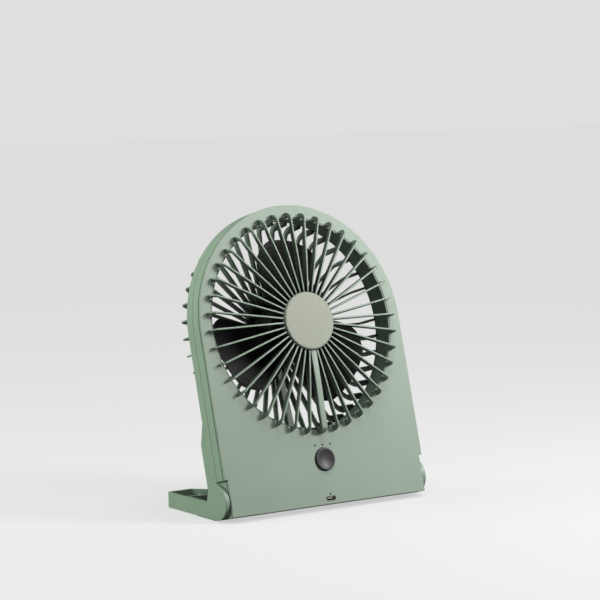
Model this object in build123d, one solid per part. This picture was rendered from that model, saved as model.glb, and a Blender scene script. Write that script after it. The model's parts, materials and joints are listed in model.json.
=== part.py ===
from build123d import *
from math import cos, radians, sin, sqrt
import os

# Folding desk fan, millimetres. The head is drawn in its own upright frame: X across, Y back from the
# front face, Z up from the bottom edge. It is then leaned back about the hinge on the stand.
# The finished origin is on the desk, under the middle of the fan's bounding box.

# Head outline
HEAD_R = 82.5            # round top, concentric with the grilles
FAN_H = 126.0            # fan axis above the head's bottom edge
BOTTOM = 0.7             # bottom edge, just clear of the desk
NECK_X = 80.1            # half width beside the hinge lugs
NOTCH_H = 26.0           # top of the notches that take the lugs
FACE_T = 1.2             # front panel
SHADOW_D = 2.1           # where the side wall starts behind the panel's shadow gap
SPLIT_D = 9.3            # front frame meets rear cover
PARTING = 0.4            # groove where they meet
HEAD_D = 16.5            # depth of the thin upper head
BULGE_D = 26.5           # depth of the battery housing
BULGE_X = 79.9           # half width of the battery housing
BULGE_H = 66.0           # top of its shoulders
BULGE_SLOPE_H = 52.5     # where the shoulders start to slope
BULGE_R = 82.0           # hollow curve along its top, concentric with the fan
SHOULDER_D = 21.0        # depth at the top of the slope
NEST_D = 14.2            # the side steps in here, below the shoulders
WALL = 2.0

# Air way and grilles
OPEN_R = 73.9
DUCT_T = 1.5
DUCT_END = 16.5
RIBS = 40
RIB_T = 1.2
FRONT_WIDE_T = 4.8       # broad rib at six o'clock
REAR_WIDE_T = 5.2        # carries the motor leads
LANDING_R = 77.0         # front ribs end on the panel here
HOOK = 8.2               # they hook over at this radius
HOOK_T = 3.2             # thickness of the hook
CAP_R = 20.0
CAP_FRONT = -8.9
CAP_BACK = -6.2
REAR_R = 76.7
REAR_BEND = 6.0          # rounded shoulder of the rear ribs
REAR_BEND_D = 31.5
REAR_RIB = 4.8           # rib depth
RING_R = 77.4            # rear grille's seat
HUB_D = 43.0             # back of the rear hub plate

# Motor and propeller
SHAFT_R = 1.5
RUNNING = 0.03           # radial clearance of the shaft
BEARING_R = 3.0
BEARING_W = 2.5
TUBE_R = 4.0
CAN_R = 13.2
CAN_T = 1.0
PROP_HUB_R = 17.0
BLADES = 3
BLADE_TIP = 61.0
BLADE_T = 1.2

# Controls
BUTTON_H = 31.5
BUTTON_R = 7.8
BUTTON_OUT = 1.5
DISH_R, DISH = 18.0, 1.3  # its hollow face
LIGHT_H = 41.4
LIGHT_PITCH = 6.3
LIGHT_R = 0.65
CHARGE_LIGHT_H = 7.5
PORT_H = 4.4
PORT_W, PORT_T = 7.6, 2.9
BOARD_D, BOARD_T = 8.0, 1.6

# Stand and hinge
LEAN = 15.0              # backward lean as it stands
AXIS = 12.5              # hinge axis, back from the face and up from the bottom edge
AXIS_Z = 12.4            # hinge axis above the desk
LUG_R = 11.8
LUG_IN, LUG_OUT = 80.5, 83.7
ARM_TOP = 11.0
ARM_END = 62.0
SOLE = 0.5               # the pads hold the stand this far off the desk
BAR_R = 82.5             # hollow rear edge of the crossbar, concentric with the fan when folded
BAR_WALL = 1.8
INNER_SIDE_Y, INNER_MID_Y = 38.5, 24.5
PIN_R = 3.0
BUSH_R = 5.0
WASHER_R = 7.0


def slab(shape, near, far):
    """A flat shape drawn across X and height, filled between two depths."""
    return extrude(Plane.XZ.offset(-near) * shape, amount=near - far)


def disc(radius, near, far, hole=0.0):
    """A round plate or tube about the fan axis."""
    shape = Circle(radius) - Circle(hole) if hole else Circle(radius)
    return slab(Pos(0, FAN_H) * shape, near, far)


def across(radius, left, right, depth=AXIS, height=AXIS):
    """A round bar along X."""
    return Pos(left, depth, height) * extrude(Plane.YZ * Circle(radius), amount=right - left)


def block(x0, x1, y0, y1, z0, z1):
    return Pos((x0 + x1) / 2, (y0 + y1) / 2, (z0 + z1) / 2) * Box(x1 - x0, y1 - y0, z1 - z0)


def around(piece, degrees):
    """A piece drawn above the fan axis, turned clockwise as seen from the front."""
    return Pos(0, 0, FAN_H) * Rot(0, degrees, 0) * piece


def both_sides(piece):
    return [piece, mirror(piece, about=Plane.YZ)]


def joined(pieces):
    first, *rest = pieces
    return first.fuse(*rest) if rest else first


def head_outline(inset=0.0):
    upper = Pos(0, FAN_H) * Circle(HEAD_R - inset)
    sides = Pos(0, (FAN_H + NOTCH_H + inset) / 2) * Rectangle(
        2 * (HEAD_R - inset), FAN_H - NOTCH_H - inset)
    low, high = BOTTOM + inset, NOTCH_H + 2 * inset
    neck = Pos(0, (low + high) / 2) * Rectangle(2 * (NECK_X - inset), high - low)
    return upper + sides + neck


def head_side(inset=0.0):
    """The head's side view, Y by Z: round under the hinge, full at the battery, thin above."""
    swing = LUG_R - inset
    lower = AXIS - swing
    foot = Line((0, lower), (AXIS, lower))
    heel = RadiusArc((AXIS, lower), (AXIS + swing, AXIS), -swing)
    back = Polyline((AXIS + swing, AXIS), (BULGE_D - inset, AXIS + 4.5),
                    (BULGE_D - inset, BULGE_SLOPE_H), (SHOULDER_D - inset, BULGE_H - inset),
                    (HEAD_D - inset, BULGE_H - inset), (HEAD_D - inset, FAN_H + HEAD_R - inset),
                    (0, FAN_H + HEAD_R - inset), (0, lower))
    return extrude(Plane.YZ * make_face([foot, heel, back]), amount=HEAD_R, both=True)


def head_block(inset=0.0):
    """The solid the head's shells are cut from."""
    bulge = Pos(0, (BULGE_H + BOTTOM) / 2) * Rectangle(
        2 * (BULGE_X - inset), BULGE_H - BOTTOM - 2 * inset) - Pos(0, FAN_H) * Circle(BULGE_R + inset)
    full = slab(head_outline(inset), 0, HEAD_D - inset) + slab(bulge, 0, BULGE_D - inset)
    nest = both_sides(block(BULGE_X - inset, HEAD_R, NEST_D - inset, BULGE_D, 0, BULGE_H - 2))
    return (full - nest) & head_side(inset)


def rib(profile, thickness):
    """A radial fin from points of depth and radius."""
    outline = make_face(Polyline(*profile, close=True))
    return extrude(Plane.YZ * outline, amount=thickness / 2, both=True)


def fan_of_ribs(profile, wide_thickness):
    pitch = 360 / RIBS
    thin = rib(profile, RIB_T)
    wide = rib(profile, wide_thickness)
    return [around(thin, pitch * n) for n in range(RIBS) if n != RIBS // 2] + [around(wide, 180)]


def arc_points(depth, radius, bend, start, end, steps=6):
    """Points round a bend of the given radius, for rib shoulders."""
    turns = [start + (end - start) * n / steps for n in range(steps + 1)]
    return [(depth + bend * cos(radians(t)), radius + bend * sin(radians(t))) for t in turns]


def wire(points, radius):
    path = Spline(*points)
    start = Plane(origin=path @ 0, z_dir=path % 0)
    return sweep(start * Circle(radius), path=path)


def screw(head_r, head_h, shank_r, length):
    """A pan-head screw pointing along +Z, with its head's top at zero and a cross recess."""
    body = Pos(0, 0, head_h / 2) * Cylinder(head_r, head_h)
    body += Pos(0, 0, head_h + length / 2) * Cylinder(shank_r, length)
    slot = head_r * 1.1
    recess = Box(slot, slot / 4, head_h) + Box(slot / 4, slot, head_h)
    return body - recess


# ---- Head shells -------------------------------------------------------------------------------
outer, cavity = head_block(), head_block(WALL)
opening = disc(OPEN_R + DUCT_T, -1, HEAD_D + 1)
pivot_holes = both_sides(across(BUSH_R, 70, HEAD_R) + across(BUSH_R + 1.4, 70, NECK_X - WALL))

lights = [(n * LIGHT_PITCH, LIGHT_H) for n in (-1, 0, 1)] + [(0, CHARGE_LIGHT_H)]
port_hole = slab(Pos(0, PORT_H) * RectangleRounded(PORT_W + 0.4, PORT_T + 0.4, 0.8), -1, 4)
light_holes = [slab(Pos(x, h) * Circle(LIGHT_R + 0.05), -1, 4) for x, h in lights]

screw_spots = [(79.3 * sin(radians(t)), FAN_H + 79.3 * cos(radians(t))) for t in (-62, -22, 22, 62)]
screw_spots += [(x, h) for x in (-60, 60) for h in (14, 52)]
ends = [slab(Pos(x, h) * Circle(2.3), 0, 14.45) for x, h in screw_spots]

face = slab(head_outline(), 0, FACE_T)
face = fillet(face.edges().group_by(Axis.Y)[0], 0.4)
lip = slab(head_outline(WALL + 0.1) - head_outline(WALL + 1.1), FACE_T, 4)
lip = (lip & head_side(WALL + 0.1)) - [disc(OPEN_R + DUCT_T + 0.1, 0, 5), *ends]
front_panel = face + lip
front_panel -= disc(OPEN_R, -1, FACE_T + 1)
front_panel -= slab(Pos(0, BUTTON_H) * Circle(BUTTON_R + 0.35), -1, 2)
front_panel -= [port_hole, *light_holes]

posts = [slab(Pos(x, h) * Circle(2.2), FACE_T + 0.1, 14.4) for x, h in screw_spots]
post_bores = [slab(Pos(x, h) * Circle(1.0), 5, 20) for x, h in screw_spots]
shell = outer - cavity
front_frame = shell & block(-90, 90, SHADOW_D, SPLIT_D, -5, 220)
web = slab(head_outline(WALL + 1.3) - Pos(0, FAN_H) * Circle(OPEN_R + DUCT_T), 5.2, 6.8)
web -= slab(Pos(0, 22) * Rectangle(56, 48), 4, 9)
web &= head_side(WALL)
rails = slab(head_outline(WALL) - head_outline(WALL + 1.4), 5.2, 6.8) & head_side(WALL)
front_frame += [web, rails, *posts]
front_frame -= [opening, *post_bores, *pivot_holes]
front_frame -= slab(Pos(0, PORT_H) * Rectangle(PORT_W + 1, PORT_T + 2), 3, BOARD_D)

rear_cover = shell & block(-90, 90, SPLIT_D, BULGE_D + 1, -5, 220)
rear_cover -= [opening, *pivot_holes, *ends]
rear_cover -= slab(head_outline() - head_outline(PARTING), SPLIT_D, SPLIT_D + PARTING)
rear_cover -= [slab(Pos(x, h) * Circle(1.3), 10, 30) for x, h in screw_spots]
deep = [(x, h) for x, h in screw_spots if h < BULGE_H]
wells = [slab(Pos(x, h) * (Circle(3.8) - Circle(1.3)), 14.5, BULGE_D - 1) for x, h in deep]
rear_cover = (rear_cover + [w & outer for w in wells])
rear_cover -= [slab(Pos(x, h) * Circle(2.5), 16.2, 40) for x, h in deep]
rear_cover -= [slab(Pos(x, h) * Circle(2.0), HEAD_D - 0.9, 20) for x, h in screw_spots if h > BULGE_H]
rear_cover -= slab(Pos(0, FAN_H - 76.5) * Rectangle(4.4, 2.6), 13, 17)

# ---- Air way and grilles -----------------------------------------------------------------------
duct_ring = disc(OPEN_R + DUCT_T, FACE_T, DUCT_END, OPEN_R)

front_profile = [(CAP_BACK, 18), (CAP_BACK, CAP_R + 0.2), (-7.7, CAP_R + 0.2), (-7.5, 45), (-6.7, 62)]
front_profile += arc_points(0.0, LANDING_R - HOOK, HOOK, 143, 90)
front_profile += [(0, OPEN_R - 0.08), (2.2, OPEN_R - 0.08), (2.2, OPEN_R - 1.0), (0.2, OPEN_R - 1.0)]
front_profile += arc_points(0.0, LANDING_R - HOOK, HOOK - HOOK_T, 112, 143, 4)
front_profile += [(-3.1, 62), (-3.3, 45), (-3.4, 18)]
hub_plate = disc(CAP_R - 0.4, CAP_BACK, CAP_BACK + 3)
hoop = disc(OPEN_R - 0.08, 0.2, 3.4, OPEN_R - 1.2)
front_grille = joined([hub_plate, hoop, *fan_of_ribs(front_profile, FRONT_WIDE_T)])

cap = disc(CAP_R, CAP_FRONT, CAP_BACK)
hub_cap = fillet(cap.edges().group_by(Axis.Y)[0], 1.1)

rear_profile = [(HEAD_D + 0.2, REAR_R)]
rear_profile += arc_points(REAR_BEND_D, REAR_R - REAR_BEND, REAR_BEND, 90, 15, 6)
rear_profile += [(HUB_D, 19), (HUB_D - REAR_RIB, 17)]
rear_profile += arc_points(REAR_BEND_D, REAR_R - REAR_BEND - 1.0, REAR_BEND - REAR_RIB, 15, 90, 3)
rear_profile += [(HEAD_D + 0.2, REAR_R - REAR_RIB)]
rear_ring = disc(RING_R, HEAD_D, HEAD_D + 1.8, OPEN_R + 0.3)
rear_hub = disc(CAP_R, HUB_D - 3, HUB_D) + disc(15, HUB_D - 5.5, HUB_D - 3)
rear_grille = joined([rear_ring, rear_hub, *fan_of_ribs(rear_profile, REAR_WIDE_T)])
motor_spots = [(9.5 * sin(radians(t)), FAN_H + 9.5 * cos(radians(t))) for t in (0, 120, 240)]
rear_grille -= [slab(Pos(x, h) * Circle(1.1), 30, 50) for x, h in motor_spots]
rear_grille -= [slab(Pos(x, h) * Circle(2.2), HUB_D - 1.2, 50) for x, h in motor_spots]
lead_way = make_face(Polyline(
    (36.2, -12.2), (38.9, -12.2), (41.0, -20), (36.6, -68.5), (34.9, -73.6), (32, -75.2), (20.6, -75.2),
    (19.6, -77.0), (HEAD_D - 0.1, -77.0), (HEAD_D - 0.1, -73.0), (31.2, -73.0), (33.6, -70.6), (34.3, -68.0),
    (38.6, -20), (36.2, -15), close=True))
rear_grille -= Pos(0, 0, FAN_H) * extrude(Plane.YZ * lead_way, amount=1.6, both=True)
rear_cap = disc(CAP_R - 0.5, HUB_D, HUB_D + 2)
rear_cap = fillet(rear_cap.edges().group_by(Axis.Y)[-1], 0.9)

# ---- Motor -------------------------------------------------------------------------------------
base_d = HUB_D - 5.5
motor_base = disc(12.0, base_d - 1.5, base_d) - [
    slab(Pos(x, h) * Circle(0.8), 30, 50) for x, h in motor_spots]
bearing_tube = disc(TUBE_R, 22.5, base_d - 1.5, BEARING_R)
bearings = [disc(BEARING_R, d, d + BEARING_W, SHAFT_R + RUNNING) for d in (23.0, 32.4)]
tooth = Pos(0, 0, 6.9) * Box(2.2, 8, 5.4)
tip = (disc(9.7, 25, 33, 8.7) & Pos(0, 0, FAN_H) * block(-3.6, 3.6, 20, 40, 0, 12))
tip = Pos(0, 0, -FAN_H) * tip
spokes = [around(Pos(0, 29, 0) * tooth, 60 * n) for n in range(6)] + [
    around(tip, 60 * n) for n in range(6)]
stator = joined([disc(5.2, 25, 33, TUBE_R), *spokes])
coil = Pos(0, 29, 7.0) * (Box(4.8, 10.4, 2.6) - Box(2.24, 8.04, 4))
coils = [around(coil, 60 * n) for n in range(6)]
rotor_can = disc(CAN_R, 20.5, 34.6, CAN_R - CAN_T) + disc(CAN_R, 19.5, 20.6, SHAFT_R)
magnet = disc(CAN_R - CAN_T, 24, 34.4, 10.2)
motor_shaft = disc(SHAFT_R, 15.4, 35.9)
groove = disc(SHAFT_R + 1, 35.05, 35.55, SHAFT_R - 0.4)
motor_shaft -= groove
shaft_clip = disc(2.5, 35.1, 35.5, SHAFT_R - 0.38) - Pos(0, 0, FAN_H) * block(-0.8, 0.8, 30, 40, 0, 5)

# ---- Propeller ---------------------------------------------------------------------------------
cup = disc(PROP_HUB_R, 14, 33.5)
cup = fillet(cup.edges().group_by(Axis.Y)[0], 3)
cup = cup - disc(CAN_R, 19.5, 40) - disc(SHAFT_R, 15.4, 40)


def blade_point(share, sweep_share):
    """A point of the blade: share runs from root to tip, sweep_share from trailing to leading edge."""
    radius = 15.4 + (BLADE_TIP - 15.4) * share
    rounding = sqrt(1 - 0.62 * max(0.0, (share - 0.72) / 0.28) ** 2)
    half = (42 - 11 * share) * rounding
    turn = 13 * share + half * (2 * sweep_share - 1)
    rise = (15.0 - 3.0 * share) * (sweep_share - 0.5) * rounding
    camber = 2.2 * (4 * sweep_share * (1 - sweep_share)) * (1 - 0.4 * share)
    depth = 23.5 - 5.5 * share + rise - camber
    return (radius * sin(radians(turn)), depth, radius * cos(radians(turn)))


blade_face = Face.make_surface_from_array_of_points(
    [[Vector(*blade_point(i / 8, j / 8)) for j in range(9)] for i in range(9)])
blade = thicken(blade_face, BLADE_T / 2, both=True)
propeller = joined([cup, *[around(blade, 360 / BLADES * n - 1) for n in range(BLADES)]])

# ---- Controls and power ------------------------------------------------------------------------
power_button = slab(Pos(0, BUTTON_H) * Circle(BUTTON_R), -BUTTON_OUT, 1.5)
power_button = fillet(power_button.edges().group_by(Axis.Y)[0], 0.7)
power_button += slab(Pos(0, BUTTON_H) * Circle(BUTTON_R + 1.2), 1.5, 2.4)
power_button += slab(Pos(0, BUTTON_H) * Circle(1.8), 2.4, 3.6)
dish = Pos(0, -BUTTON_OUT - DISH_R + DISH, BUTTON_H) * Sphere(DISH_R)
power_button -= dish

switch = slab(Pos(0, BUTTON_H) * Rectangle(6, 6), 5.1, BOARD_D)
tact_switch = switch + slab(Pos(0, BUTTON_H) * Circle(1.7), 4.6, 5.1)
return_spring = slab(Pos(0, BUTTON_H) * (Circle(7.4) - Circle(6.4)), 3.5, BOARD_D)
return_spring += slab(Pos(0, BUTTON_H) * (Circle(7.4) - Circle(4.9)), 3.5, 4.1)

circuit_board = slab(Pos(0, 24) * Rectangle(46, 42), BOARD_D, BOARD_D + BOARD_T)
board_spots = [(x, h) for x in (-20, 20) for h in (7, 41)]
circuit_board -= [slab(Pos(x, h) * Circle(1.1), 5, 12) for x, h in board_spots]
light_pipes = [slab(Pos(x, h) * Circle(LIGHT_R), 0.05, BOARD_D) for x, h in lights]
board_screws = [Pos(x, BOARD_D + BOARD_T + 1.2, h) * Rot(90, 0, 0) * screw(1.9, 1.2, 0.8, 3.4)
                for x, h in board_spots]
bosses = [slab(Pos(x, h) * (Circle(2.3) - Circle(0.8)), 5.2, BOARD_D) for x, h in board_spots]
straps = [slab(Pos(x * 1.22, h) * Rectangle(11, 3), 5.2, 6.8) for x, h in board_spots]
straps = [s - slab(Pos(x, h) * Circle(0.8), 4, 9) for s, (x, h) in zip(straps, board_spots)]
front_frame += [*bosses, *straps]

chips = [slab(Pos(x, h) * Rectangle(w, t), BOARD_D + BOARD_T, BOARD_D + BOARD_T + 1.4)
         for x, h, w, t in ((-9, 18, 7, 5), (9, 20, 5, 5), (0, 33, 9, 4), (12, 33, 3, 6))]
shell_port = RectangleRounded(PORT_W, PORT_T, 0.7)
charging_socket = slab(Pos(0, PORT_H) * shell_port, 0.6, BOARD_D)
charging_socket -= slab(Pos(0, PORT_H) * RectangleRounded(PORT_W - 0.7, PORT_T - 0.7, 0.4), 0, 6.2)
charging_socket += slab(Pos(0, PORT_H + 0.45) * Rectangle(4.6, 0.7), 1.4, 6.3)

cell = slab(Pos(0, 26) * RectangleRounded(58, 28, 2), 13.2, 22.0)
battery_cell = fillet(cell.edges().group_by(Axis.Y)[0] + cell.edges().group_by(Axis.Y)[-1], 1.2)
battery_pad = slab(Pos(0, 28) * Rectangle(50, 20), 22.05, BULGE_D - WALL - 0.05)
battery_tray = slab(Pos(0, 26) * (RectangleRounded(62.4, 31.6, 2) - RectangleRounded(59, 28.8, 2)),
                    14.5, BULGE_D - WALL)
battery_tray = (battery_tray & cavity) - slab(Pos(0, 41) * Rectangle(18, 8), 10, 30)

board_back = BOARD_D + BOARD_T
rib_run = [(37.3, 12.8), (38.6, 17), (39.5, 24), (37.6, 46), (35.6, 66.5), (34.0, 72), (30.0, 74.1),
           (24, 74.3)]
down_run = [(19.8, 74.8), (17.6, 76.0), (15.6, 76.5), (13.2, 77.8), (11.9, 81), (11.2, 84),
            (board_back + 0.65, 88)]
motor_leads = [wire([(x, d, FAN_H - r) for d, r in rib_run + down_run], 0.55) for x in (-0.8, 0.8)]
battery_leads = [wire([(x, 17.5, 40.15 + 0.55), (x, 16, 41.1), (x * 1.3, 13, 40.6),
                       (x * 1.6, board_back + 0.65, 37)], 0.55) for x in (-4, 4)]

motor_screws = [Pos(x, HUB_D - 0.1, h) * Rot(90, 0, 0) * screw(2.0, 1.1, 0.75, 6.0)
                for x, h in motor_spots]
cover_screws = [Pos(x, HEAD_D - 0.05 if h > BULGE_H else 17.6, h) * Rot(90, 0, 0)
                * screw(1.8, 0.8 if h > BULGE_H else 1.3, 0.95, 7.5) for x, h in screw_spots]

# ---- Hinge -------------------------------------------------------------------------------------
bush = across(BUSH_R, 72.0, NECK_X) + across(BUSH_R + 1.2, 72.0, NECK_X - WALL - 0.1)
pivot_bushes = both_sides(bush - across(PIN_R + 0.05, 70, 90))
pin = across(PIN_R, 71.0, LUG_OUT - 1.2) - across(PIN_R + 1, 71.35, 71.85) + across(PIN_R - 0.5, 71.3, 71.9)
hinge_pins = both_sides(pin)
clip = across(4.6, 71.4, 71.8) - across(PIN_R - 0.48, 70, 73)
pin_clips = both_sides(clip)
friction_washers = both_sides(across(WASHER_R, NECK_X + 0.05, LUG_IN - 0.05) - across(PIN_R + 0.1, 79, 84))

# ---- Stand, drawn with the hinge axis over Y = 0 and the desk at Z = 0 --------------------------
fan_y = FAN_H - AXIS
turn_x = sqrt(BAR_R ** 2 - (fan_y - ARM_END) ** 2)
mid_y = fan_y - BAR_R
plan = make_face([
    Polyline((turn_x, ARM_END), (LUG_OUT, ARM_END), (LUG_OUT, 0), (-LUG_OUT, 0),
             (-LUG_OUT, ARM_END), (-turn_x, ARM_END)),
    ThreePointArc((-turn_x, ARM_END), (0, mid_y), (turn_x, ARM_END))])
window = make_face([
    Polyline((LUG_IN, INNER_SIDE_Y), (LUG_IN, -1), (-LUG_IN, -1), (-LUG_IN, INNER_SIDE_Y)),
    ThreePointArc((-LUG_IN, INNER_SIDE_Y), (0, INNER_MID_Y), (LUG_IN, INNER_SIDE_Y))])
frame_plan = plan - window
stand = extrude(Pos(0, 0, SOLE) * frame_plan, amount=ARM_TOP - SOLE)
stand = fillet(stand.edges().filter_by(Axis.Z).sort_by(Axis.Y)[-4:], 2.2)
lug = across(LUG_R, LUG_IN, LUG_OUT, 0, AXIS_Z)
lug = fillet(lug.edges().group_by(Axis.X)[-1], 0.5)
stand += both_sides(lug)
channel = offset(plan - window, -BAR_WALL) & Pos(0, 50) * Rectangle(200, 70)
stiffeners = [block(x - 0.6, x + 0.6, 20, 70, SOLE + 1, ARM_TOP - 3) for x in (-62, -40, -20, 20, 40, 62)]
stand -= extrude(Pos(0, 0, SOLE + BAR_WALL) * channel, amount=ARM_TOP) - stiffeners
stand -= both_sides(across(PIN_R, LUG_IN - 1, LUG_OUT - 1.2, 0, AXIS_Z))
pads = both_sides(block(LUG_IN + 0.5, LUG_OUT - 0.5, 2, 24, 0, 1.2))
pads += both_sides(block(58, 78, 53, 58.5, 0, 1.2))
stand -= pads

# ---- Where everything stands -------------------------------------------------------------------
lean = Pos(0, 0, AXIS_Z) * Rot(-LEAN, 0, 0) * Pos(0, -AXIS, -AXIS)
head_nodes = {
    "front_panel": front_panel, "front_frame": front_frame, "rear_cover": rear_cover,
    "duct_ring": duct_ring, "front_grille": front_grille, "hub_cap": hub_cap,
    "rear_grille": rear_grille, "rear_cap": rear_cap, "motor_base": motor_base,
    "bearing_tube": bearing_tube, "bearings": bearings, "stator_core": stator,
    "stator_coils": coils, "motor_screws": motor_screws, "rotor_can": rotor_can,
    "rotor_magnet": magnet, "motor_shaft": motor_shaft, "shaft_clip": shaft_clip,
    "propeller": propeller, "power_button": power_button, "return_spring": return_spring,
    "tact_switch": tact_switch, "circuit_board": circuit_board, "chips": chips,
    "light_pipes": light_pipes, "charging_socket": charging_socket,
    "board_screws": board_screws, "battery_cell": battery_cell, "battery_pad": battery_pad,
    "battery_tray": battery_tray, "battery_leads": battery_leads, "motor_leads": motor_leads,
    "cover_screws": cover_screws, "pivot_bushes": pivot_bushes, "hinge_pins": hinge_pins,
    "pin_clips": pin_clips, "friction_washers": friction_washers,
}


def solids_of(piece):
    pieces = piece if isinstance(piece, list) else [piece]
    return [s for p in pieces for s in p.solids()]


nodes = {name: Compound([lean * s for s in solids_of(piece)])
         for name, piece in head_nodes.items()}
nodes["stand"] = Compound(solids_of(stand))
nodes["foot_pads"] = Compound(solids_of(pads))

bounds = Compound(list(nodes.values())).bounding_box()
centre = Pos(-(bounds.min.X + bounds.max.X) / 2, -(bounds.min.Y + bounds.max.Y) / 2, -bounds.min.Z)
os.makedirs("parts", exist_ok=True)
for name, piece in nodes.items():
    export_step(centre * piece, f"parts/{name}.step")
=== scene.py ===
import json
import math

import bmesh
import bpy
from mathutils import Matrix, Vector


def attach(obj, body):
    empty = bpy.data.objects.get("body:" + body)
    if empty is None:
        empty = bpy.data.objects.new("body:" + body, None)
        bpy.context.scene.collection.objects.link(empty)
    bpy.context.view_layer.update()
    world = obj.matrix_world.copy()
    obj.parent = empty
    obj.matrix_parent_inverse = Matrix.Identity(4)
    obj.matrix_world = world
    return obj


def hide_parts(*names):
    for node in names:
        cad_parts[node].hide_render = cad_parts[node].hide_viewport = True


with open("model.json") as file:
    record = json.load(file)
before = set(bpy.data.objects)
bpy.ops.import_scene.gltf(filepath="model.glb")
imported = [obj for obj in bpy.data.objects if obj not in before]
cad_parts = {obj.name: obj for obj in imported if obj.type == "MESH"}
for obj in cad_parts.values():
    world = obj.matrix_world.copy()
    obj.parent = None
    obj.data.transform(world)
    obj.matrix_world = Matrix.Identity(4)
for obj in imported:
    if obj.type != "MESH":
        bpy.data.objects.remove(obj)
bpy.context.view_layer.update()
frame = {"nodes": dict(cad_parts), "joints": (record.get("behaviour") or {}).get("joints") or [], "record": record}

MM = 0.001

# ---- Where the fan's own axes lie --------------------------------------------------------------
joints = {j["name"]: j for j in frame["joints"]}
tilt_axis = Vector(joints["head_tilt"]["pos_m"])
fan_back = Vector(joints["propeller_spin"]["axis"])        # from the face towards the rear
fan_up = Vector((1, 0, 0)).cross(fan_back)                 # up the leaning face
fan_point = Vector(joints["propeller_spin"]["pos_m"])


def least_reach(node, direction):
    """How far along a direction a CAD node starts, in metres."""
    return min(v.co.dot(direction) for v in frame["nodes"][node].data.vertices)


panel_front = least_reach("front_panel", fan_back)
centre = fan_point + fan_back * (panel_front - fan_point.dot(fan_back))
panel_low = least_reach("front_panel", fan_up) - centre.dot(fan_up)      # its lower edge, below the centre

# Places a drawing whose X is across, Y up the face and Z out of the face on the leaning fan.
FACE = Matrix.Translation(centre) @ Matrix((
    (1, fan_up.x, -fan_back.x, 0), (0, fan_up.y, -fan_back.y, 0),
    (0, fan_up.z, -fan_back.z, 0), (0, 0, 0, 1)))


# ---- Camera, light and floor -------------------------------------------------------------------
def look(camera_place, azimuth, elevation, roll):
    """The camera's matrix: it looks in from an azimuth, counted from the front, and down by an
    elevation, with a small roll, all in degrees."""
    a, e = math.radians(azimuth), math.radians(elevation)
    back = Vector((math.sin(a) * math.cos(e), -math.cos(a) * math.cos(e), math.sin(e)))
    right = Vector((0, 0, 1)).cross(back).normalized()
    up = back.cross(right)
    turn = Matrix((right, up, back)).transposed().to_4x4()
    return Matrix.Translation(camera_place) @ turn @ Matrix.Rotation(math.radians(roll), 4, "Z")


# The camera stands about 1.6 m off, in front of the fan, to its left and a little above it.
camera = bpy.data.objects.new("camera", bpy.data.cameras.new("camera"))
bpy.context.scene.collection.objects.link(camera)
camera.data.sensor_width = 36
camera.data.lens = 141.7
camera.matrix_world = look(Vector((-0.9232, tilt_axis.y - 1.2992, 0.3088)), -34.98, 5.96, -0.63)
bpy.context.scene.camera = camera
camera.data.clip_start = 0.05


# ---- Studio ------------------------------------------------------------------------------------
def linear(hex_colour):
    """An sRGB hex colour as linear RGBA."""
    parts = [int(hex_colour[i:i + 2], 16) / 255 for i in (1, 3, 5)]
    return tuple(c / 12.92 if c <= 0.04045 else ((c + 0.055) / 1.055) ** 2.4 for c in parts) + (1.0,)


def add(tree, kind, settings=None, links=None, **values):
    """One node: settings are its own properties, links say what feeds its sockets, values are the
    numbers and colours on its sockets."""
    node = tree.nodes.new(kind)
    for key, value in (settings or {}).items():
        setattr(node, key, value)
    for key, value in values.items():
        node.inputs[key.replace("_", " ")].default_value = value
    for key, source in (links or {}).items():
        tree.links.new(source, node.inputs[key])
    return node


# The room gives a low, even light; the pale backdrop behind the fan is only what the lens meets there.
world = bpy.data.worlds.new("studio")
bpy.context.scene.world = world
world.use_nodes = True
room = world.node_tree.nodes["Background"]
room.inputs["Color"].default_value = linear("#f2f5f2")
room.inputs["Strength"].default_value = 0.13
backdrop = add(world.node_tree, "ShaderNodeBackground", Color=linear("#dfdfdf"), Strength=1.0)
seen = add(world.node_tree, "ShaderNodeLightPath").outputs["Is Camera Ray"]
both = add(world.node_tree, "ShaderNodeMixShader",
           links={0: seen, 1: room.outputs[0], 2: backdrop.outputs[0]})
world.node_tree.links.new(both.outputs[0], world.node_tree.nodes["World Output"].inputs["Surface"])
bpy.context.scene.view_settings.view_transform = "Standard"


def softbox(name, place, aim, side, watts, colour="#ffffff"):
    """A square, softly spreading light that faces its aim."""
    light = bpy.data.objects.new(name, bpy.data.lights.new(name, "AREA"))
    light.data.shape, light.data.size, light.data.size_y = "RECTANGLE", side, side
    light.data.energy = watts
    light.data.color = linear(colour)[:3]
    light.matrix_world = Matrix.Translation(place) @ (
        Vector(aim) - Vector(place)).to_track_quat("-Z", "Y").to_matrix().to_4x4()
    bpy.context.scene.collection.objects.link(light)


def skylight(name, towards, strength, spread):
    """A very large, far diffuser, so that the desk is as bright far off as near the fan."""
    light = bpy.data.objects.new(name, bpy.data.lights.new(name, "SUN"))
    light.data.energy, light.data.angle = strength, math.radians(spread)
    light.matrix_world = Vector(towards).to_track_quat("-Z", "Y").to_matrix().to_4x4()
    bpy.context.scene.collection.objects.link(light)


# The key comes from the upper right, the rim from behind on the left, and the overhead lights the desk.
softbox("key", (0.46, -0.48, 0.45), (0, 0, 0.15), 0.22, 4.8)
softbox("rim", (-0.85, 0.32, 0.32), (-0.08, 0, 0.12), 0.4, 6.0, "#eeffee")
skylight("overhead", (0.0, 0.1, -1.0), 1.9, 40)

DESK = 6                  # half its side, in metres, so that its edge is never near the fan
desk = bpy.data.objects.new("desk", bpy.data.meshes.new("desk"))
desk.data.from_pydata([(-DESK, -DESK, 0), (DESK, -DESK, 0), (DESK, DESK, 0), (-DESK, DESK, 0)], [],
                      [(0, 1, 2, 3)])
bpy.context.scene.collection.objects.link(desk)


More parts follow.
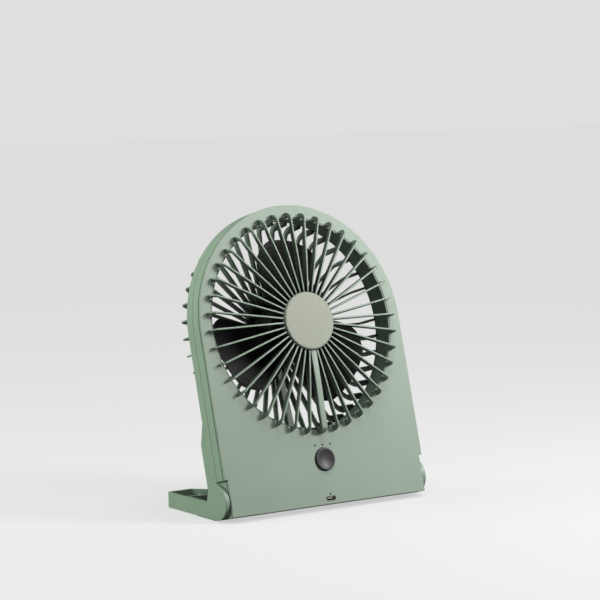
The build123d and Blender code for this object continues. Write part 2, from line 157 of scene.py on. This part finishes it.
# ---- Finishes ----------------------------------------------------------------------------------
def on_fan(tree, place):
    """The place measured from the fan's centre and square to its face: X across, Y up, Z out of it."""
    return add(tree, "ShaderNodeMapping", {"vector_type": "TEXTURE"}, {"Vector": place},
               Location=FACE.translation, Rotation=FACE.to_euler()).outputs["Vector"]


def start(name, roughness=None, metallic=0.0, ior=None, scale=None, along_fan=False):
    """A new finish with its shader, and the place on the piece that its patterns read.

    Patterns are drawn square to the fan's face where along_fan is set, and stretched by scale.
    """
    material = bpy.data.materials.new(name)
    material.use_nodes = True
    tree = material.node_tree
    shader = tree.nodes["Principled BSDF"]
    shader.inputs["Metallic"].default_value = metallic
    if roughness:
        shader.inputs["Roughness"].default_value = roughness
    if ior:
        shader.inputs["IOR"].default_value = ior
    place = add(tree, "ShaderNodeTexCoord").outputs["Object"]
    if along_fan:
        place = on_fan(tree, place)
    if scale:
        place = add(tree, "ShaderNodeMapping", links={"Vector": place}, Scale=scale).outputs["Vector"]
    return material, tree, shader, place


def noise(tree, place, size_mm, detail=2.0):
    """Soft random shading whose lumps are about size_mm across."""
    return add(tree, "ShaderNodeTexNoise", links={"Vector": place}, Scale=1 / (size_mm * MM),
               Detail=detail).outputs["Fac"]


def tone(tree, shader, colour, other, factor):
    """The base colour runs between two hex colours. Gives that colour, for another finish to mix."""
    mix = add(tree, "ShaderNodeMix", {"data_type": "RGBA"}, {"Factor": factor})
    mix.inputs["A"].default_value, mix.inputs["B"].default_value = linear(colour), linear(other)
    tree.links.new(mix.outputs["Result"], shader.inputs["Base Color"])
    return mix.outputs["Result"]


def gloss(tree, shader, low, high, factor):
    """The roughness runs between two values, so that a highlight is broken up as on the real surface."""
    spread = add(tree, "ShaderNodeMapRange", links={"Value": factor}, To_Min=low, To_Max=high)
    tree.links.new(spread.outputs["Result"], shader.inputs["Roughness"])


def relief(tree, shader, height, depth_mm, strength=1.0):
    """The surface rises and falls by depth_mm."""
    bump = add(tree, "ShaderNodeBump", links={"Height": height}, Strength=strength, Distance=depth_mm * MM)
    tree.links.new(bump.outputs["Normal"], shader.inputs["Normal"])


def rings(tree, place, pitch_mm, **values):
    """Rings about the fan's axis, pitch_mm apart."""
    return add(tree, "ShaderNodeTexWave", {"wave_type": "RINGS", "rings_direction": "Z"}, {"Vector": place},
               Scale=math.pi / (10 * pitch_mm * MM), **values).outputs["Fac"]


CLOSED, OPEN = 0.58, 0.96         # share of the sky that a face sees, where the painted shade is at its deepest and where it ends at the palest colour
# Between these radii the painted shade eases on the hooks in front of the panel: painted bounce light, standing
# for what the panel's pale face throws back.
HOOK_STARTS, HOOK_ENDS = 60, 73   # mm from the fan's axis
HOOK_PAINTED_BOUNCE = 0.62


def painted_shade_openness(tree):
    """How far a face is kept from the painted shade: 1 on open faces, falling to 0 deep between the ribs and
    inside the air way, by what stands within 20 mm. The hooks in front of the panel stay mostly open: painted
    light, standing for what the panel's pale face throws back on them."""
    # Ambient occlusion sets the painted shade: the less sky a face sees, the darker its painted colour.
    shade = add(tree, "ShaderNodeAmbientOcclusion", {"samples": 8}, Distance=20 * MM)
    seen = add(tree, "ShaderNodeMapRange", links={"Value": shade.outputs["AO"]}, From_Min=CLOSED,
               From_Max=OPEN)
    place = on_fan(tree, add(tree, "ShaderNodeTexCoord").outputs["Object"])
    apart = add(tree, "ShaderNodeSeparateXYZ", links={"Vector": place}).outputs
    flat = add(tree, "ShaderNodeCombineXYZ", links={"X": apart["X"], "Y": apart["Y"]}).outputs["Vector"]
    radius = add(tree, "ShaderNodeVectorMath", {"operation": "LENGTH"}, {0: flat}).outputs["Value"]
    # Painted light on the hooks in front of the panel eases their painted shade, from 60 to 73 mm out.
    outer = add(tree, "ShaderNodeMapRange", links={"Value": radius}, From_Min=HOOK_STARTS * MM,
                From_Max=HOOK_ENDS * MM, To_Max=HOOK_PAINTED_BOUNCE).outputs["Result"]
    ahead = add(tree, "ShaderNodeMapRange", links={"Value": apart["Z"]}, From_Min=-0.5 * MM,
                From_Max=0.5 * MM).outputs["Result"]
    hook = add(tree, "ShaderNodeMath", {"operation": "MULTIPLY"}, {0: outer, 1: ahead}).outputs[0]
    return add(tree, "ShaderNodeMath", {"operation": "MAXIMUM"},
               {0: seen.outputs["Result"], 1: hook}).outputs[0]


def spark_textured(name, colour, other, roughness, shade=None):
    """Moulded ABS from a spark-eroded tool: a fine dry grain that breaks up reflections.

    The real grain is about 0.1 mm; it is drawn four times coarser, so that it shows. The colour drifts a little
    over 40 mm, as the melt cooled, and the high points of the grain are paler. Where a shade is given, it is
    painted shade: the colour runs to that shade colour on faces that stand close to others.
    """
    material, tree, shader, place = start(name, ior=1.54)
    grain = noise(tree, place, 0.45, 3.0)
    drift = noise(tree, place, 40, 3.0)
    both = add(tree, "ShaderNodeMath", {"operation": "MULTIPLY_ADD"}, {0: grain, 2: drift})
    both.inputs[1].default_value = 0.35          # how much the grain counts beside the drift
    spread = add(tree, "ShaderNodeMapRange", links={"Value": both.outputs[0]}, From_Min=0.35, From_Max=1.0)
    open_face = tone(tree, shader, colour, other, spread.outputs["Result"])
    if shade:
        # Painted shade: the colour runs to the shade colour on faces that stand close to others.
        deep = add(tree, "ShaderNodeMix", {"data_type": "RGBA"}, {"Factor": painted_shade_openness(tree)})
        deep.inputs["A"].default_value = linear(shade)
        tree.links.new(open_face, deep.inputs["B"])
        tree.links.new(deep.outputs["Result"], shader.inputs["Base Color"])
    gloss(tree, shader, roughness - 0.07, roughness + 0.07, grain)
    relief(tree, shader, grain, 0.018, 0.6)
    return material


# Sage ABS moulded in a spark-eroded tool: a dry, slightly chalky grey-green with no clear reflection.
sage_abs = spark_textured("spark-textured sage ABS", "#8a9c8b", "#94a694", 0.50)
# The same ABS on the ribs and the air way, with painted shade: the shade that gathers between close faces is
# painted into its colour as a deep green, because the studio's soft light alone leaves the grille too pale.
painted_shade_sage_ribs = spark_textured("spark-textured sage ABS with painted shade between ribs", "#8a9c8b", "#94a694", 0.50, "#121d17")
# The same ABS with more white in it, for the two hub discs: warmer and paler than the body.
pale_abs = spark_textured("spark-textured pale sage ABS", "#989e8d", "#a1a695", 0.55)


def polished_black_pp():
    """Black polypropylene blades, moulded against a polished tool: a waxy, broad highlight crossed by
    faint flow fronts, rings 3 mm apart where the melt spread from the hub."""
    material, tree, shader, place = start("flow-marked black polypropylene", ior=1.49, along_fan=True)
    flow = rings(tree, place, 3, Distortion=6.0, Detail=2.0)
    tone(tree, shader, "#060706", "#0b0c0b", flow)
    gloss(tree, shader, 0.42, 0.56, flow)
    shader.inputs["Specular IOR Level"].default_value = 0.14
    relief(tree, shader, noise(tree, place, 1.2), 0.01, 0.4)
    return material


def soft_touch():
    """Charcoal silicone with a soft-touch coat: velvety, so it is palest where it turns away, with a
    fine peach-skin grain, drawn at 0.5 mm so that it shows."""
    material, tree, shader, place = start("soft-touch charcoal silicone", ior=1.41)
    grain = noise(tree, place, 0.5, 3.0)
    tone(tree, shader, "#3c3b3b", "#474646", grain)
    gloss(tree, shader, 0.36, 0.5, grain)
    relief(tree, shader, grain, 0.015, 0.5)
    shader.inputs["Sheen Weight"].default_value = 0.1
    return material


def plated(name, colour, other, roughness, crystal_mm):
    """Zinc or nickel plate: small crystal patches, each a little brighter or duller than the next. The
    real ones are too fine to see; they are drawn at crystal_mm so that they show."""
    material, tree, shader, place = start(name, metallic=1.0)
    patch = add(tree, "ShaderNodeTexVoronoi", links={"Vector": place}, Scale=1 / (crystal_mm * MM))
    tint = add(tree, "ShaderNodeSeparateColor", links={"Color": patch.outputs["Color"]}).outputs["Red"]
    tone(tree, shader, colour, other, tint)
    gloss(tree, shader, roughness - 0.08, roughness + 0.1, tint)
    relief(tree, shader, noise(tree, place, crystal_mm / 2), 0.006, 0.4)
    return material


def turned(name, colour, other, roughness, cut_mm):
    """Metal cut in a lathe: fine rings about the fan's axis that draw a bright streak across them.
    Real tool marks are about 0.05 mm apart; they are drawn at cut_mm so that they show."""
    material, tree, shader, place = start(name, metallic=1.0, along_fan=True)
    cuts = rings(tree, place, cut_mm, Distortion=0.4)
    tone(tree, shader, colour, other, noise(tree, place, 2.5))
    gloss(tree, shader, roughness - 0.05, roughness + 0.08, cuts)
    relief(tree, shader, cuts, 0.004, 0.5)
    return material


def wound_copper():
    """Enamelled winding wire, 0.3 mm thick: bands of round wire, glossy under their clear enamel."""
    material, tree, shader, place = start("enamelled copper winding", 0.3, metallic=1.0, along_fan=True)
    turns = rings(tree, place, 0.3)
    tone(tree, shader, "#8a3f1c", "#c9703a", turns)
    relief(tree, shader, turns, 0.1, 0.8)
    shader.inputs["Coat Weight"].default_value = 0.7
    shader.inputs["Coat Roughness"].default_value = 0.12
    return material


def grained(name, colour, other, roughness, grain_mm, depth_mm, ior):
    """Moulded, extruded, sintered or vulcanised stuff: random grain in colour, gloss and relief. Grain
    too fine to see is drawn at grain_mm so that it shows."""
    material, tree, shader, place = start(name, ior=ior)
    grain = noise(tree, place, grain_mm, 3.0)
    tone(tree, shader, colour, other, grain)
    gloss(tree, shader, roughness - 0.08, roughness + 0.08, grain)
    relief(tree, shader, grain, depth_mm, 0.6)
    return material


def circuit_laminate():
    """Glass-epoxy board under green solder mask: copper tracks about 0.8 mm wide show through as
    paler, slightly raised lines."""
    material, tree, shader, place = start("solder-masked laminate", ior=1.55, along_fan=True)
    tracks = add(tree, "ShaderNodeTexVoronoi", {"feature": "DISTANCE_TO_EDGE"}, {"Vector": place},
                 Scale=1 / (5 * MM)).outputs["Distance"]
    line = add(tree, "ShaderNodeMapRange", links={"Value": tracks}, From_Min=0.04, From_Max=0.1,
               To_Min=1.0, To_Max=0.0).outputs["Result"]
    tone(tree, shader, "#0e3d20", "#2a6b3a", line)
    gloss(tree, shader, 0.22, 0.36, noise(tree, place, 0.8))
    relief(tree, shader, line, 0.035, 0.8)
    return material


def shrink_film():
    """Heat-shrunk blue film on the cell: glossy, with soft creases that run along it, 4 mm apart."""
    material, tree, shader, place = start("heat-shrunk battery film", 0.25, ior=1.57, scale=(0.25, 1, 1))
    crease = noise(tree, place, 4, 2.0)
    tone(tree, shader, "#2c4f86", "#3e64a0", crease)
    relief(tree, shader, crease, 0.12, 0.7)
    return material


def closed_cell_foam():
    """Closed-cell foam: round cells about 0.8 mm across, with painted shade in their hollows."""
    material, tree, shader, place = start("closed-cell foam", 0.9, ior=1.4)
    cells = add(tree, "ShaderNodeTexVoronoi", links={"Vector": place},
                Scale=1 / (0.8 * MM)).outputs["Distance"]
    # Painted shade: darkest at the bottom of each cell's hollow.
    tone(tree, shader, "#1e1f20", "#3a3c3d", cells)
    relief(tree, shader, cells, 0.25, 0.8)
    return material


finishes = {
    "sage_abs": sage_abs,
    "pale_sage_abs": pale_abs,
    "black_plastic": polished_black_pp(),
    "grey_button": soft_touch(),
    # zinc-plated pressed steel: cool and bright, in faint crystal patches
    "steel": plated("zinc-plated steel", "#b9bcc0", "#cfd2d4", 0.34, 1.2),
    # hardened steel, ground: brighter and smoother, with rings that follow the turning
    "bearing_steel": turned("ground bearing steel", "#c3c4c6", "#d3d4d5", 0.22, 0.25),
    # nickel-plated shell of the socket: slightly warm
    "socket_steel": plated("nickel-plated socket shell", "#b8b4ac", "#cbc8c0", 0.28, 0.8),
    "brass": turned("turned brass", "#b58d3f", "#cba557", 0.26, 0.25),
    "copper": wound_copper(),
    # pressed and fired ferrite: near-black with a powdery bloom
    "ferrite": grained("sintered ferrite", "#26272a", "#36373b", 0.7, 0.6, 0.03, ior=2.0),
    # moulded silicone: milky, a little uneven where it cured
    "silicone": grained("moulded silicone", "#b4b4ae", "#c4c4be", 0.5, 1.5, 0.02, ior=1.41),
    "board_green": circuit_laminate(),
    # smoked polycarbonate lens tips: nearly black until the light behind is on
    "clear_light": grained("smoked polycarbonate lens", "#101412", "#1a201d", 0.18, 0.8, 0.004, ior=1.58),
    "battery_film": shrink_film(),
    "foam": closed_cell_foam(),
    # extruded PVC insulation: satin red with slight unevenness along it
    "lead_insulation": grained("extruded PVC insulation", "#8f1f1c", "#a82a25", 0.38, 1.0, 0.01, ior=1.53),
    # natural nylon: a warm, faintly blotchy off-white
    "nylon": grained("moulded natural nylon", "#d9d5c8", "#e4e0d4", 0.42, 2.5, 0.01, ior=1.53),
    # vulcanised rubber pads: dull black with a chalky bloom
    "rubber": grained("vulcanised rubber", "#222423", "#303331", 0.85, 0.7, 0.03, ior=1.52),
}
slot_of = {part["node"]: part["material_slot"] for part in frame["record"]["subparts"]}
for name, node in frame["nodes"].items():
    for place in node.material_slots:
        # The duct ring takes the same ABS with painted shade as the ribs.
        place.material = painted_shade_sage_ribs if name == "duct_ring" else finishes[slot_of[name]]


def desk_paint():
    """Matt white paint with a fine roller stipple, 1.5 mm across.

    Part of what the lens sees is an even glow, as from a light table, so that the desk is as pale far
    off as near the fan and its shadows stay soft. All else meets a duller desk that throws little light
    back up, so that the lower half of the fan keeps its shade.
    """
    material, tree, shader, place = start("rolled white paint", 0.9)
    stipple = noise(tree, place, 1.5, 2.0)
    tone(tree, shader, "#7e7e7d", "#838382", stipple)
    relief(tree, shader, stipple, 0.02, 0.5)
    shader.inputs["Specular IOR Level"].default_value = 0.0
    shader.inputs["Emission Color"].default_value = linear("#c6c6c6")
    shader.inputs["Emission Strength"].default_value = 1.0
    shade = add(tree, "ShaderNodeBsdfDiffuse", Color=linear("#6a6a6a"))
    direct = add(tree, "ShaderNodeLightPath").outputs["Is Camera Ray"]
    mixed = add(tree, "ShaderNodeMixShader", links={0: direct, 1: shade.outputs[0], 2: shader.outputs[0]})
    tree.links.new(mixed.outputs[0], tree.nodes["Material Output"].inputs["Surface"])
    return material


desk.data.materials.append(desk_paint())


# ---- Making tools ------------------------------------------------------------------------------
# Pieces are drawn in millimetres on the fan's face: X across, Y up the face from the fan's centre,
# Z out of the face, so a depth behind the face is a negative Z.
def drawn(name, mesh):
    piece = bpy.data.objects.new(name, mesh)
    bpy.context.scene.collection.objects.link(piece)
    return piece


def mesh_from(name, shape):
    """A plain mesh from a bmesh, with its doubles merged and its faces turned outwards."""
    bmesh.ops.remove_doubles(shape, verts=shape.verts, dist=1e-4)
    bmesh.ops.recalc_face_normals(shape, faces=shape.faces)
    mesh = bpy.data.meshes.new(name)
    shape.to_mesh(mesh)
    shape.free()
    return mesh


def fin(name, outline, left, right):
    """A flat plate standing across X, from an outline of (depth, radius) points."""
    shape = bmesh.new()
    sides = [[shape.verts.new((x, radius, -depth)) for depth, radius in outline] for x in (left, right)]
    shape.faces.new(sides[0])
    shape.faces.new(sides[1])
    for n in range(len(outline)):
        m = (n + 1) % len(outline)
        shape.faces.new((sides[0][n], sides[0][m], sides[1][m], sides[1][n]))
    return drawn(name, mesh_from(name, shape))


FINE = 160               # sides of the rings round the air way


def turned_piece(name, outline, sides=128):
    """A piece turned about Z from a closed outline of (depth, radius) points; radius 0 is a pole."""
    shape = bmesh.new()
    circles = []
    for depth, radius in outline:
        if radius == 0:
            circles.append([shape.verts.new((0, 0, -depth))] * sides)
        else:
            circles.append([shape.verts.new((radius * math.sin(2 * math.pi * k / sides),
                                           radius * math.cos(2 * math.pi * k / sides), -depth))
                          for k in range(sides)])
    for circle, following in zip(circles, circles[1:] + circles[:1]):
        for k in range(sides):
            m = (k + 1) % sides
            corners = list(dict.fromkeys((circle[k], circle[m], following[m], following[k])))
            if len(corners) > 2:
                shape.faces.new(corners)
    return drawn(name, mesh_from(name, shape))


def rounded(piece, width):
    """Rounds every edge that turns by more than 35 degrees."""
    bevel = piece.modifiers.new("round the edges", "BEVEL")
    bevel.width, bevel.segments, bevel.limit_method = width, 3, "ANGLE"
    bevel.angle_limit = math.radians(35)
    return piece


def bend(depth, radius, size, start_turn, end_turn, steps):
    """Points round a bend about (depth, radius), as (depth, radius)."""
    turns = [math.radians(start_turn + (end_turn - start_turn) * n / steps) for n in range(steps + 1)]
    return [(depth + size * math.cos(t), radius + size * math.sin(t)) for t in turns]


def settled(piece):
    """Applies a piece's modifiers, so that a plain mesh is left."""
    bpy.context.view_layer.update()
    mesh = bpy.data.meshes.new_from_object(piece.evaluated_get(bpy.context.evaluated_depsgraph_get()))
    piece.modifiers.clear()
    piece.data = mesh
    return piece


def assembled(name, pieces, body, finish, stands_for):
    """Joins drawn pieces into one, puts it in the fan's place, and gives it its finish and its body."""
    whole = bmesh.new()
    for piece in pieces:
        whole.from_mesh(settled(piece).data)
        bpy.data.objects.remove(piece)
    mesh = bpy.data.meshes.new(name)
    whole.to_mesh(mesh)
    whole.free()
    mesh.transform(FACE @ Matrix.Scale(MM, 4))
    mesh.materials.clear()
    mesh.materials.append(finish)
    for face in mesh.polygons:
        face.material_index = 0
        face.use_smooth = True
    mesh.set_sharp_from_angle(angle=math.radians(38))
    result = drawn(name, mesh)
    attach(result, body)
    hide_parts(*stands_for)
    return result


def new_tree(name, sockets):
    """A geometry tree with its named inputs, and its two end nodes."""
    tree = bpy.data.node_groups.new(name, "GeometryNodeTree")
    tree.interface.new_socket("Geometry", in_out="OUTPUT", socket_type="NodeSocketGeometry")
    for label, kind in sockets:
        tree.interface.new_socket(label, in_out="INPUT", socket_type=kind)
    return tree, add(tree, "NodeGroupInput").outputs, add(tree, "NodeGroupOutput")


def with_tree(piece, tree, **inputs):
    """Puts a geometry tree on a piece and sets its inputs by their sockets' identifiers."""
    modifier = piece.modifiers.new(tree.name, "NODES")
    modifier.node_group = tree
    names = {s.name: s.identifier for s in tree.interface.items_tree if s.in_out == "INPUT"}
    for label, value in inputs.items():
        modifier[names[label.replace("_", " ")]] = value
    return piece


# Ring of ribs: copies one rib round the fan's axis at an even pitch, and leaves one place empty.
rib_ring, given, end = new_tree("ring of ribs", [
    ("Rib", "NodeSocketGeometry"), ("Count", "NodeSocketInt"), ("Left Out", "NodeSocketInt"),
    ("Finish", "NodeSocketMaterial")])
number = add(rib_ring, "GeometryNodeInputIndex").outputs["Index"]
places = add(rib_ring, "GeometryNodePoints", links={"Count": given["Count"]}).outputs["Points"]
kept = add(rib_ring, "FunctionNodeCompare", {"data_type": "INT", "operation": "NOT_EQUAL"},
           {2: number, 3: given["Left Out"]}).outputs["Result"]
share = add(rib_ring, "ShaderNodeMath", {"operation": "DIVIDE"}, {0: number, 1: given["Count"]})
swing = add(rib_ring, "ShaderNodeMath", {"operation": "MULTIPLY"}, {0: share.outputs[0]})
swing.inputs[1].default_value = 2 * math.pi
turn = add(rib_ring, "ShaderNodeCombineXYZ", links={"Z": swing.outputs[0]}).outputs[0]
copies = add(rib_ring, "GeometryNodeInstanceOnPoints", links={
    "Points": places, "Selection": kept, "Instance": given["Rib"], "Rotation": turn}).outputs["Instances"]
solid = add(rib_ring, "GeometryNodeRealizeInstances", links={"Geometry": copies}).outputs["Geometry"]
coated = add(rib_ring, "GeometryNodeSetMaterial", links={"Geometry": solid, "Material": given["Finish"]})
rib_ring.links.new(coated.outputs["Geometry"], end.inputs["Geometry"])

# Screws at points: puts one screw at each point, turned by its own amount about its axis.
screw_row, given, end = new_tree("screws at points", [
    ("Points", "NodeSocketGeometry"), ("Screw", "NodeSocketObject"), ("Seed", "NodeSocketInt"),
    ("Finish", "NodeSocketMaterial")])
screw_shape = add(screw_row, "GeometryNodeObjectInfo", {"transform_space": "ORIGINAL"},
                  {"Object": given["Screw"]}).outputs["Geometry"]
stop = add(screw_row, "FunctionNodeRandomValue", {"data_type": "FLOAT"}, {"Seed": given["Seed"]}).outputs[1]
swing = add(screw_row, "ShaderNodeMath", {"operation": "MULTIPLY"}, {0: stop})
swing.inputs[1].default_value = 2 * math.pi
turn = add(screw_row, "ShaderNodeCombineXYZ", links={"Z": swing.outputs[0]}).outputs[0]
copies = add(screw_row, "GeometryNodeInstanceOnPoints", links={
    "Points": given["Points"], "Instance": screw_shape, "Rotation": turn}).outputs["Instances"]
solid = add(screw_row, "GeometryNodeRealizeInstances", links={"Geometry": copies}).outputs["Geometry"]
coated = add(screw_row, "GeometryNodeSetMaterial", links={"Geometry": solid, "Material": given["Finish"]})
screw_row.links.new(coated.outputs["Geometry"], end.inputs["Geometry"])


# ---- Grilles -----------------------------------------------------------------------------------
RIBS = 40
LOWEST = RIBS // 2       # the place at six o'clock, which a broad rib takes
RIB_T = 1.2
BROAD_T, BROAD_REAR_T = 4.8, 5.2
RIB_EDGE, BROAD_EDGE, HUB_EDGE = 0.28, 0.6, 0.4      # how far their edges are rounded
OPEN_R = 73.9            # air way through the panel
HUB_R = 20.0
CLEAR = 0.08             # between the hoop and the air way


def broad(name, outline, thickness):
    """The broad rib, drawn upright like the others and turned down to six o'clock."""
    rib = rounded(fin(name, outline, -thickness / 2, thickness / 2), BROAD_EDGE)
    rib.data.transform(Matrix.Rotation(math.pi, 4, "Z"))
    return rib


# Front ribs: straight out from the hub, then hooked over on to the panel outside the air way.
HOOK, HOOK_T = 8.2, 3.2  # outer radius of the hook's bend, and its depth
LANDING_R = 77.0         # where the hook meets the panel
PLATE_FRONT, PLATE_BACK = 6.2, 3.2                   # hub plate, in front of the panel
BEND_R = LANDING_R - HOOK
front_outline = [(-PLATE_FRONT, 18.0), (-PLATE_FRONT, HUB_R + 0.2), (-7.7, HUB_R + 0.2), (-7.5, 45.0),
                 (-6.7, 62.0)]
front_outline += bend(0.0, BEND_R, HOOK, 143, 90, 10)
front_outline += [(0.0, OPEN_R - CLEAR), (2.2, OPEN_R - CLEAR), (2.2, OPEN_R - 1.0), (0.2, OPEN_R - 1.0)]
front_outline += bend(0.0, BEND_R, HOOK - HOOK_T, 112, 143, 6)
front_outline += [(-3.1, 62.0), (-3.3, 45.0), (-3.4, 18.0)]
front_rib = rounded(fin("front rib", front_outline, -RIB_T / 2, RIB_T / 2), RIB_EDGE)
with_tree(front_rib, rib_ring, Count=RIBS, Left_Out=LOWEST, Finish=painted_shade_sage_ribs)
hub_plate = rounded(turned_piece("hub plate", [
    (-PLATE_FRONT, 0), (-PLATE_FRONT, HUB_R - 0.4), (-PLATE_BACK, HUB_R - 0.4), (-PLATE_BACK, 0)]), HUB_EDGE)
hoop = turned_piece("hoop", [
    (0.2, OPEN_R - 1.2), (0.2, OPEN_R - CLEAR), (3.4, OPEN_R - CLEAR), (3.4, OPEN_R - 1.2)], FINE)
broad_front = broad("broad front rib", front_outline, BROAD_T)
assembled("front_grille_ribs", [front_rib, broad_front, hub_plate, hoop], "head", painted_shade_sage_ribs,
          ["front_grille"])

# Rear ribs: a drum of ribs straight back from the ring, over a rounded shoulder, and in to the hub.
# Its broad rib is a closed channel for the motor's leads.
HEAD_D, HUB_D = 16.5, 43.0                           # head's back plate and hub's back, behind the face
REAR_R, SHOULDER, SHOULDER_D, DEEP = 76.7, 6.0, 31.5, 4.8
RING_R, RING_T = 77.4, 1.8
outside = [(HEAD_D + 0.2, REAR_R)] + bend(SHOULDER_D, REAR_R - SHOULDER, SHOULDER, 90, 15, 10)
outside += [(HUB_D, HUB_R - 1)]
inside = [(HUB_D - DEEP, HUB_R - 3)] + bend(SHOULDER_D, REAR_R - SHOULDER - 1.0, SHOULDER - DEEP, 15, 90, 4)
inside += [(HEAD_D + 0.2, REAR_R - DEEP)]
rear_rib = rounded(fin("rear rib", outside + inside, -RIB_T / 2, RIB_T / 2), RIB_EDGE)
with_tree(rear_rib, rib_ring, Count=RIBS, Left_Out=LOWEST, Finish=painted_shade_sage_ribs)
ring = rounded(turned_piece("rear ring", [
    (HEAD_D, OPEN_R + 0.3), (HEAD_D, RING_R), (HEAD_D + RING_T, RING_R), (HEAD_D + RING_T, OPEN_R + 0.3)],
    FINE), 0.35)
BOSS_D, BOSS_R, HUB_T = 5.5, 15.0, 3.0               # the motor's boss in front of the hub disc
rear_hub = rounded(turned_piece("rear hub", [
    (HUB_D - BOSS_D, 0), (HUB_D - BOSS_D, BOSS_R), (HUB_D - HUB_T, BOSS_R), (HUB_D - HUB_T, HUB_R),
    (HUB_D, HUB_R), (HUB_D, 0)]), HUB_EDGE)
broad_rear = broad("broad rear rib", outside + inside, BROAD_REAR_T)
assembled("rear_grille_ribs", [rear_rib, broad_rear, ring, rear_hub], "head", painted_shade_sage_ribs,
          ["rear_grille"])


# ---- Screws ------------------------------------------------------------------------------------
def pan_head(head_r, head_h, shank_r, length):
    """A self-tapping pan-head screw with a cross recess and a thread, pointing into the face."""
    pitch = 0.8
    outline = [(0.0, 0.0), (0.12, head_r * 0.6), (head_h * 0.45, head_r * 0.93), (head_h, head_r)]
    for n in range(int(length / pitch)):
        top = head_h + pitch / 2 + n * pitch
        outline += [(top, shank_r * 0.78), (top + pitch / 2, shank_r)]
    outline += [(head_h + length - 0.2, shank_r * 0.5), (head_h + length, 0.0)]
    whole = turned_piece("screw", outline, 24)
    whole.data.transform(Matrix.Rotation(math.pi, 4, "X"))       # the head faces the back of the fan
    cutter = bmesh.new()
    slot = Matrix.Diagonal((head_r * 1.15, head_r * 0.3, head_h * 1.3, 1))
    for quarter in (0, 1):
        turned_slot = Matrix.Rotation(quarter * math.pi / 2, 4, "Z") @ slot
        bmesh.ops.create_cube(cutter, size=1.0, matrix=turned_slot)
    cross = drawn("cross", mesh_from("cross", cutter))
    cut = whole.modifiers.new("recess", "BOOLEAN")
    cut.object, cut.operation, cut.solver = cross, "DIFFERENCE", "EXACT"
    cut.use_self = True                              # the cross is two bars that pass through each other
    settled(whole)
    bpy.data.objects.remove(cross)
    return whole


PANEL_LIFT = 0.7                          # the panel starts this far above the head's bottom edge
FAN_H = PANEL_LIFT - panel_low / MM       # fan centre above the head's bottom edge
UPPER_R, UPPER_TURNS = 79.3, (-62, -22, 22, 62)      # round the rear ring, in degrees from the top
LOWER_X, LOWER_HEIGHTS, LOWER_D = 60, (14, 52), 17.6
spots = [(UPPER_R * math.sin(math.radians(t)), UPPER_R * math.cos(math.radians(t)), HEAD_D - 0.05)
         for t in UPPER_TURNS]
spots += [(x, h - FAN_H, LOWER_D) for x in (-LOWER_X, LOWER_X) for h in LOWER_HEIGHTS]
screw = pan_head(head_r=1.8, head_h=1.0, shank_r=0.95, length=7.4)
places = bpy.data.meshes.new("screw places")
places.from_pydata([(x, y, -depth) for x, y, depth in spots], [], [])
row = settled(with_tree(drawn("screw places", places), screw_row, Screw=screw, Seed=7,
                        Finish=finishes["steel"]))
bpy.data.objects.remove(screw)
assembled("cover_screw_set", [row], "head", finishes["steel"], ["cover_screws"])
